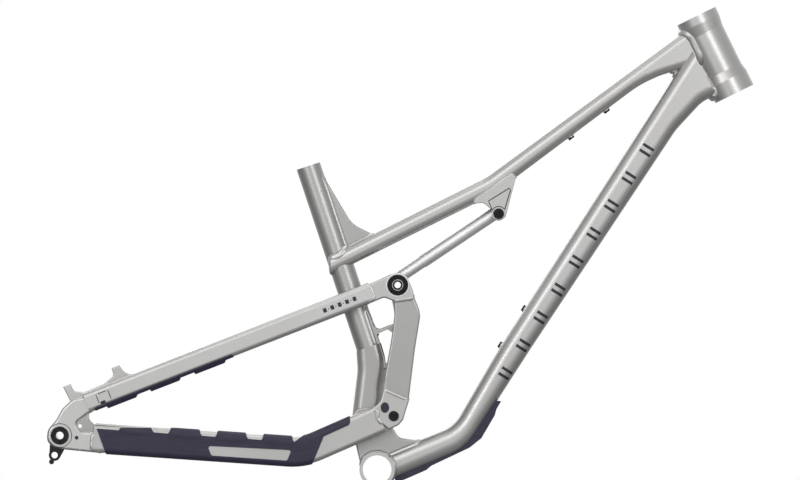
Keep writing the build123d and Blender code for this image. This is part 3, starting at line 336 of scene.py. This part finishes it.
# Each lamp: its place, the point it faces, its width and height, and its power in watts.
LAMPS = {
    "top_light": ((0.0, 0.0, 2.6), (0.03, 0.0, 0.3), 2.6, 1.6, 18.0),
    "front_light": ((-0.7, -2.6, 1.7), (0.0, 0.0, 0.3), 1.6, 1.6, 9.0),
    "head_light": ((1.3, -2.4, 0.9), (0.45, 0.0, 0.45), 0.9, 0.9, 7.0),
    "axle_light": ((-1.3, -2.4, 0.6), (-0.42, 0.0, 0.1), 0.9, 0.9, 7.0),
    "back_light": ((-0.7, 2.6, 1.7), (0.0, 0.0, 0.3), 1.6, 1.6, 9.0),
}
for name, (place, aim, width, height, power) in LAMPS.items():
    data = bpy.data.lights.new(name, "AREA")
    data.shape = "RECTANGLE"
    data.size = width
    data.size_y = height
    data.energy = power
    lamp = bpy.data.objects.new(name, data)
    lamp.location = place
    lamp.rotation_euler = (Vector(aim) - Vector(place)).to_track_quat("-Z", "Y").to_euler()
    bpy.context.scene.collection.objects.link(lamp)

# The studio is plain white where the camera sees it. As light it is brightest at mid height and dims
# towards both ends of the bicycle.
STUDIO_STRENGTH = 1.75
STUDIO_LEVELS = ((0.30, 0.20), (0.50, 0.46), (0.64, 0.52), (0.92, 0.28))
END_LEVEL = 0.42
world = bpy.data.worlds.new("studio")
bpy.context.scene.world = world
world.use_nodes = True
world.node_tree.nodes.clear()
sky = Tree(world.node_tree)
seen = sky.add("ShaderNodeBackground")
seen.inputs["Color"].default_value = WHITE
lit = sky.add("ShaderNodeBackground")
lit.inputs["Strength"].default_value = STUDIO_STRENGTH
split = sky.add("ShaderNodeSeparateXYZ")
sky.link(sky.add("ShaderNodeTexCoord").outputs["Generated"], split.inputs["Vector"])
by_height = sky.ramp(
    sky.spread(split.outputs["Z"], 0.0, 1.0, start=-1.0),
    [(position, (level, level, level)) for position, level in STUDIO_LEVELS],
)
off_axis = sky.math("MAXIMUM", sky.math("ABSOLUTE", split.outputs["Y"]), split.outputs["Z"])
shade = sky.mix(by_height, sky.spread(off_axis, END_LEVEL, 1.0), share=1.0, blend="MULTIPLY")
sky.link(shade, lit.inputs["Color"])
choose = sky.add("ShaderNodeMixShader")
sky.link(sky.add("ShaderNodeLightPath").outputs["Is Camera Ray"], choose.inputs["Fac"])
for background, socket in ((lit, choose.inputs[1]), (seen, choose.inputs[2])):
    sky.link(background.outputs["Background"], socket)
sky.link(choose.outputs["Shader"], sky.add("ShaderNodeOutputWorld").inputs["Surface"])


# ---------------------------------------------------------------- mesh helpers
JOIN_DISTANCE = 2e-6
MESHES = {}


def piece(name, mesh, material, body):
    """Links a finished mesh as a visible piece that rides on a body."""
    obj = bpy.data.objects.new(name, mesh)
    bpy.context.scene.collection.objects.link(obj)
    mesh.materials.append(MATERIALS[material])
    for polygon in mesh.polygons:
        polygon.use_smooth = True
    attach(obj, body)
    return obj


def bare_mesh(name, verts, faces):
    """A mesh from its corners and faces."""
    mesh = bpy.data.meshes.new(name)
    mesh.from_pydata(verts, [], faces)
    return mesh


def outward_mesh(name, verts, faces):
    """A closed mesh from its corners and faces, with its normals turned outward."""
    mesh = bare_mesh(name, verts, faces)
    made = bmesh.new()
    made.from_mesh(mesh)
    bmesh.ops.recalc_face_normals(made, faces=made.faces)
    made.to_mesh(mesh)
    made.free()
    return mesh


def ring_faces(count, row, closed=True):
    """The quads that join each ring of row corners to the next one, and the last to the first if closed."""
    faces = []
    for i in range(count if closed else count - 1):
        j = (i + 1) % count
        for k in range(row):
            n = (k + 1) % row
            faces.append((i * row + k, i * row + n, j * row + n, j * row + k))
    return faces


def joined(node):
    """A node's mesh with its split vertices joined, as a bmesh with its search tree, made once."""
    if node not in MESHES:
        made = bmesh.new()
        made.from_mesh(NODES[node].data)
        bmesh.ops.remove_doubles(made, verts=made.verts, dist=JOIN_DISTANCE)
        made.verts.index_update()
        made.verts.ensure_lookup_table()
        made.faces.ensure_lookup_table()
        MESHES[node] = (made, BVHTree.FromBMesh(made))
    return MESHES[node]


# ---------------------------------------------------------------- weld beads
# Two faces touch where they lie this close and look at each other, by the product of their normals.
TOUCH = 0.0020
FACING = -0.6
# A seam's edge path, evened out and smoothed.
SHORTEST_CHAIN = 4
FEWEST_POINTS = 8
SHORT_OF_END = 0.999999
PATH_PASSES = 4
# A bead: its steps along the seam and across it, and how far its toes and root sink into the metal.
BEAD_STEP = 0.0009
BEAD_CUTS = 9
TOE_PASSES = 12
TOE_SUNK = 0.00012
ROOT_SUNK = 0.0006
FLAT_FOLD = 0.2
# Its crown, as shares of its leg: the mean height, the ripples and a slow drift. Open ends taper off.
CROWN_SHARE = 0.20
RIPPLE_SHARE = 0.07
RIPPLE_PITCH = 0.0026
DRIFT_SHARE = 0.03
DRIFT_RATE = 0.041
END_TAPER = 5.0


def seam_paths(node, other):
    """The edge paths of node round where it meets other, longest first, each as (points, closed)."""
    mesh, _ = joined(node)
    _, tree = joined(other)
    close = {v.index: tree.find_nearest(v.co, TOUCH)[0] is not None for v in mesh.verts}
    touching = {}
    for face in mesh.faces:
        touching[face.index] = False
        if all(close[v.index] for v in face.verts):
            found, normal, _, _ = tree.find_nearest(face.calc_center_median(), TOUCH)
            touching[face.index] = found is not None and face.normal.dot(normal) < FACING
    rim = {}
    for edge in mesh.edges:
        if len(edge.link_faces) != 2:
            continue
        first, second = (touching[f.index] for f in edge.link_faces)
        if first != second:
            a, b = (v.index for v in edge.verts)
            rim.setdefault(a, []).append(b)
            rim.setdefault(b, []).append(a)
    chains = []
    left = set(rim)
    while left:
        ends = [v for v in left if sum(n in left for n in rim[v]) == 1]
        here = min(ends) if ends else min(left)
        closed = not ends
        left.discard(here)
        path = [here]
        while True:
            onward = [v for v in rim[here] if v in left]
            if not onward:
                break
            here = onward[0]
            left.discard(here)
            path.append(here)
        if len(path) >= SHORTEST_CHAIN:
            chains.append(([mesh.verts[i].co.copy() for i in path], closed and path[0] in rim[path[-1]]))
    return sorted(chains, key=lambda chain: -path_length(*chain))


def path_length(points, closed):
    """Length of a path, with the step back to its start where it is closed."""
    steps = list(zip(points, points[1:])) + ([(points[-1], points[0])] if closed else [])
    return sum((b - a).length for a, b in steps)


def averaged(points, closed, passes):
    """Points smoothed along their row."""
    count = len(points)
    for _ in range(passes):
        smooth = [(points[i - 1] + points[i] * 2 + points[(i + 1) % count]) / 4 for i in range(count)]
        points = smooth if closed else [points[0]] + smooth[1:-1] + [points[-1]]
    return points


def even_points(points, closed):
    """Points at even steps along a path, lightly smoothed."""
    ring = points + [points[0]] if closed else points
    lengths = [(b - a).length for a, b in zip(ring, ring[1:])]
    total = sum(lengths)
    count = max(FEWEST_POINTS, int(total / BEAD_STEP))
    made = []
    index, gone = 0, 0.0
    for i in range(count):
        want = total * i / (count if closed else count - 1) * SHORT_OF_END
        while index < len(lengths) - 1 and gone + lengths[index] < want:
            gone += lengths[index]
            index += 1
        share = (want - gone) / lengths[index] if lengths[index] else 0.0
        made.append(ring[index].lerp(ring[index + 1], share))
    return averaged(made, closed, PATH_PASSES)


def bead_mesh(points, closed, node, other, leg):
    """A fillet weld along a seam: toes on both surfaces one leg away, with a low rippled crown between."""
    _, own_tree = joined(node)
    _, other_tree = joined(other)
    own_toes, other_toes, outs = [], [], []
    count = len(points)
    for i, point in enumerate(points):
        ahead = points[(i + 1) % count] if closed else points[min(i + 1, count - 1)]
        behind = points[i - 1] if closed else points[max(i - 1, 0)]
        run = (ahead - behind).normalized()
        _, other_normal, _, _ = other_tree.find_nearest(point)
        _, own_normal, _, _ = own_tree.find_nearest(point + other_normal * leg * 0.5)
        _, other_normal, _, _ = other_tree.find_nearest(point + own_normal * leg * 0.5)
        own_way = run.cross(own_normal).normalized() * leg
        other_way = run.cross(other_normal).normalized() * leg
        if own_tree.find_nearest(point - own_way)[3] < own_tree.find_nearest(point + own_way)[3]:
            own_way = -own_way
        if own_tree.find_nearest(point - other_way)[3] > own_tree.find_nearest(point + other_way)[3]:
            other_way = -other_way
        out = own_normal + other_normal
        outs.append(out.normalized() if out.length > FLAT_FOLD else own_normal)
        own_toes.append(own_tree.find_nearest(point + own_way)[0])
        other_toes.append(other_tree.find_nearest(point + other_way)[0])
    own_toes, other_toes, outs = (averaged(row, closed, TOE_PASSES) for row in (own_toes, other_toes, outs))
    verts = []
    for i, point in enumerate(points):
        phase = (i * BEAD_STEP / RIPPLE_PITCH) % 1.0
        ripple = RIPPLE_SHARE * math.sin(math.pi * phase) + DRIFT_SHARE * math.sin(i * DRIFT_RATE)
        crown = leg * (CROWN_SHARE + ripple)
        if not closed:
            crown *= min(1.0, min(i, count - 1 - i) / END_TAPER)
        for k in range(BEAD_CUTS):
            share = k / (BEAD_CUTS - 1)
            lift = crown * 4.0 * share * (1.0 - share) - (TOE_SUNK if k in (0, BEAD_CUTS - 1) else 0.0)
            verts.append(own_toes[i].lerp(other_toes[i], share) + outs[i] * lift)
        verts.append(point - outs[i] * ROOT_SUNK)
    row = BEAD_CUTS + 1
    faces = ring_faces(count, row, closed)
    if not closed:
        faces.append(tuple(range(row)))
        faces.append(tuple((count - 1) * row + k for k in reversed(range(row))))
    return outward_mesh("weld", verts, faces)


# Each weld: the node whose edge is followed, the node it meets, and the weld's leg in millimetres.
WELDS = [
    ("top_tube", "head_tube", 5.5),
    ("down_tube", "head_tube", 6.0),
    ("top_tube", "seat_tube", 5.0),
    ("seat_tube_gusset", "seat_tube", 3.0),
    ("seat_tube_gusset", "top_tube", 3.0),
    ("head_gusset", "down_tube", 3.0),
    ("head_gusset", "top_tube", 3.0),
    ("shock_bracket", "top_tube", 2.0),
    ("rocker_bracket", "seat_tube", 3.0),
    ("lower_forging", "bottom_bracket_shell", 3.5),
    ("down_tube", "bottom_bracket_shell", 4.0),
    ("down_tube", "lower_forging", 3.5),
    ("brake_mount", "seat_stay_left", 2.5),
]
for side in HANDS:
    WELDS += [
        (f"seat_stay_{side}", f"upper_pivot_forging_{side}", 3.2),
        (f"seat_stay_{side}", f"dropout_{side}", 4.0),
        (f"chain_stay_{side}", f"lower_pivot_forging_{side}", 3.2),
        (f"chain_stay_{side}", f"dropout_{side}", 5.0),
        (f"upright_{side}", f"upper_pivot_forging_{side}", 3.2),
        (f"upright_{side}", f"lower_pivot_forging_{side}", 3.2),
        ("seat_stay_bridge", f"seat_stay_{side}", 2.6),
        ("chain_stay_bridge", f"chain_stay_{side}", 2.6),
    ]
# The down tube meets the head tube along two seams, one above the other.
SEAM_COUNT = {("down_tube", "head_tube"): 2}
MM = 0.001
for node, other, leg in WELDS:
    for number, (points, closed) in enumerate(seam_paths(node, other)[: SEAM_COUNT.get((node, other), 1)]):
        part_name = f"weld_{node}_{other}" + (f"_{number}" if number else "")
        mesh = bead_mesh(even_points(points, closed), closed, node, other, leg * MM)
        piece(part_name, mesh, "frame_paint", BODY_OF[node])


# ---------------------------------------------------------------- turned and machined details
LATHE_SIDES = 96
TICK_PARTS = 3


def turned(name, place, hand, profile, material, ticks=0, tick_band=(0.0, 0.0), tick_deep=0.0):
    """A swingarm ring turned about a pivot. profile lists (radius, height outward from the middle plane).

    Ticks sink the radii within tick_band by tick_deep, evenly round the ring.
    """
    verts = []
    for i in range(LATHE_SIDES):
        turn = 2 * math.pi * i / LATHE_SIDES
        sunk = tick_deep if ticks and (i * ticks * TICK_PARTS // LATHE_SIDES) % TICK_PARTS == 0 else 0.0
        for radius, height in profile:
            drop = sunk if tick_band[0] < radius < tick_band[1] else 0.0
            x = place[0] + radius * math.cos(turn)
            z = place[1] + radius * math.sin(turn)
            verts.append((x, hand * (height - drop), z))
    faces = ring_faces(LATHE_SIDES, len(profile))
    if hand > 0:
        faces = [face[::-1] for face in faces]
    mesh = bare_mesh(name, verts, faces)
    made = piece(name, mesh, material, "swingarm")
    mesh.set_sharp_from_angle(angle=SHARP_ANGLE)
    return made


def ring_profile(inner, outer, low, high, ease):
    """The section of a flat ring with eased outer corners."""
    return [
        (inner, low),
        (inner, high - ease),
        (inner + ease, high),
        (outer - ease, high),
        (outer, high - ease),
        (outer, low),
    ]


UPPER_PIVOT = (0.0292, 0.262)
REAR_AXLE = (-0.4493, 0.049)
DROPOUT_PORT = (-0.4254, 0.0459)
# The pivot cap: a lip round its bore, a shallow groove, a ticked band and an eased rim.
CAP_BASE, CAP_FACE = 0.0450, 0.0472
CAP_LIP, CAP_GROOVE, CAP_EASE = 0.0006, 0.0008, 0.0005
CAP_SECTION = [
    (0.0045, CAP_BASE),
    (0.0045, CAP_FACE - CAP_LIP),
    (0.0060, CAP_FACE - CAP_LIP),
    (0.0063, CAP_FACE),
    (0.0098, CAP_FACE),
    (0.0101, CAP_FACE - CAP_GROOVE),
    (0.0112, CAP_FACE - CAP_GROOVE),
    (0.0115, CAP_FACE),
    (0.0118, CAP_FACE),
    (0.0119, CAP_FACE),
    (0.0131, CAP_FACE),
    (0.0132, CAP_FACE),
    (0.0141, CAP_FACE),
    (0.0146, CAP_FACE - CAP_EASE),
    (0.0146, CAP_BASE),
]
CAP_TICKS = 16
CAP_TICK_BAND = (0.01185, 0.01315)
CAP_TICK_DEEP = 0.0011
PIVOT_RINGS = {
    "pivot_ring": ring_profile(0.0148, 0.0168, 0.0445, 0.0456, 0.0003),
    "pivot_inner_ring": ring_profile(0.0071, 0.0077, 0.0470, 0.0474, 0.0001),
}
for side, hand in HANDS.items():
    cap = turned(
        f"pivot_cap_{side}",
        UPPER_PIVOT,
        hand,
        CAP_SECTION,
        "black_alloy",
        ticks=CAP_TICKS,
        tick_band=CAP_TICK_BAND,
        tick_deep=CAP_TICK_DEEP,
    )
    if hand < 0:
        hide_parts("upper_pivot_caps")
    for name, section in PIVOT_RINGS.items():
        turned(f"{name}_{side}", UPPER_PIVOT, hand, section, "bright_alloy")

# A dark line of painted shade in the groove round each of the shock bracket's pockets, which bends round
# the shock bolt's boss.
SHOCK_PIVOT = (0.1725, 0.3631)
LINE_HALF = 0.00060
LINE_FACE = 0.0200
LINE_DEEP = 0.0006
ARC_R = 0.0104
ARC_DEGREES = range(38, 152, 8)
pocket = [(0.1583, 0.3812), (0.1873, 0.3993), (0.1893, 0.3972), (0.1812, 0.3700)]
for degree in ARC_DEGREES:
    turn = math.radians(degree)
    pocket.append((SHOCK_PIVOT[0] + ARC_R * math.cos(turn), SHOCK_PIVOT[1] + ARC_R * math.sin(turn)))
pocket = [Vector((x, 0.0, z)) for x, z in pocket]
for side, hand in HANDS.items():
    verts = []
    for i, corner in enumerate(pocket):
        run = (pocket[(i + 1) % len(pocket)] - pocket[i - 1]).normalized()
        out = run.cross(Vector((0.0, 1.0, 0.0))) * LINE_HALF
        high, low = LINE_FACE, LINE_FACE - LINE_DEEP
        for shift, height in ((out, high), (-out, high), (-out, low), (out, low)):
            verts.append((corner.x + shift.x, hand * height, corner.z + shift.z))
    # Painted shade: a thin dark ribbon sunk in the groove where its shadow falls.
    shade_line_mesh = outward_mesh("pocket_painted_shade", verts, ring_faces(len(pocket), 4))
    piece(f"pocket_painted_shade_{side}", shade_line_mesh, "ink_and_painted_shade", "front_triangle")
    shade_line_mesh.set_sharp_from_angle(angle=SHARP_ANGLE)

JOINT_RING = ring_profile(0.01640, 0.01730, 0.0830, 0.08355, 0.0001)
PORT_LINING = ring_profile(0.0004, 0.00275, 0.0800, 0.08405, 0.0004)
turned("hub_joint_ring", REAR_AXLE, HANDS["right"], JOINT_RING, "black_steel")
turned("dropout_port", DROPOUT_PORT, HANDS["right"], PORT_LINING, "guard_rubber")

# ---------------------------------------------------------------- plain printed markings
MARK_LIFT = 0.00022
MARK_GRID = 8
CAST_FROM = 0.3


def printed(name, node, hand, bars):
    """Thin printed bars laid on a node's side. A bar is (x, z, length, width, slope in degrees)."""
    _, tree = joined(node)
    verts, faces = [], []
    row = MARK_GRID + 1
    for x, z, length, width, slope in bars:
        run = (math.cos(math.radians(slope)), math.sin(math.radians(slope)))
        first = len(verts)
        for i in range(row):
            for k in range(row):
                along = (i / MARK_GRID - 0.5) * length
                across = (k / MARK_GRID - 0.5) * width
                spot_x = x + run[0] * along - run[1] * across
                spot_z = z + run[1] * along + run[0] * across
                start = Vector((spot_x, hand * CAST_FROM, spot_z))
                place, normal, _, _ = tree.ray_cast(start, Vector((0.0, -hand, 0.0)))
                edge = i in (0, MARK_GRID) or k in (0, MARK_GRID)
                verts.append(place + normal * (0.0 if edge else MARK_LIFT))
        for i in range(MARK_GRID):
            for k in range(MARK_GRID):
                corner = first + i * row + k
                quad = (corner, corner + row, corner + row + 1, corner + 1)
                faces.append(quad if hand < 0 else quad[::-1])
    piece(name, bare_mesh(name, verts, faces), "ink_and_painted_shade", BODY_OF[node])


# Nine pairs of short bars up each side of the down tube.
FIRST_MARK, LAST_MARK = (0.1825, 0.1365), (0.3825, 0.4535)
MARK_COUNT = 9
MARK_LENGTH, MARK_WIDTH = 0.0042, 0.018
PAIR_HALF = 0.0048
TUBE_SLOPE = math.degrees(math.atan2(LAST_MARK[1] - FIRST_MARK[1], LAST_MARK[0] - FIRST_MARK[0]))
tube_run = (math.cos(math.radians(TUBE_SLOPE)), math.sin(math.radians(TUBE_SLOPE)))
tube_bars = []
for i in range(MARK_COUNT):
    share = i / (MARK_COUNT - 1)
    x, z = (low + (high - low) * share for low, high in zip(FIRST_MARK, LAST_MARK))
    for shift in (-PAIR_HALF, PAIR_HALF):
        spot = (x + shift * tube_run[0], z + shift * tube_run[1])
        tube_bars.append((*spot, MARK_LENGTH, MARK_WIDTH, TUBE_SLOPE))
for side, hand in HANDS.items():
    printed(f"down_tube_marks_{side}", "down_tube", hand, tube_bars)

# Five blocks with dots between them on the seat stay, then a few strokes near the dropout.
STAY_SLOPE = 21.2
BLOCK_COUNT = 5
BLOCK_START = (-0.074, 0.2262)
BLOCK_STEP = 0.0105
BLOCK_SIZE = (0.0052, 0.0062)
DOT_SHIFT = (0.0052, 0.0020)
DOT_SIZE = 0.0014
stay_bars = []
for i in range(BLOCK_COUNT):
    x = BLOCK_START[0] + BLOCK_STEP * i
    z = BLOCK_START[1] + BLOCK_STEP * i * math.tan(math.radians(STAY_SLOPE))
    stay_bars.append((x, z, *BLOCK_SIZE, STAY_SLOPE))
    if i < BLOCK_COUNT - 1:
        stay_bars.append((x + DOT_SHIFT[0], z + DOT_SHIFT[1], DOT_SIZE, DOT_SIZE, STAY_SLOPE))
printed("seat_stay_marks", "seat_stay_right", HANDS["right"], stay_bars)
STROKES = (
    (-0.3960, 0.1010, 0.0012, 0.0130),
    (-0.3790, 0.1076, 0.0012, 0.0130),
    (-0.3898, 0.1102, 0.0120, 0.0012),
    (-0.3880, 0.0962, 0.0075, 0.0042),
)
printed("dropout_marks", "seat_stay_right", HANDS["right"], [(*stroke, STAY_SLOPE) for stroke in STROKES])
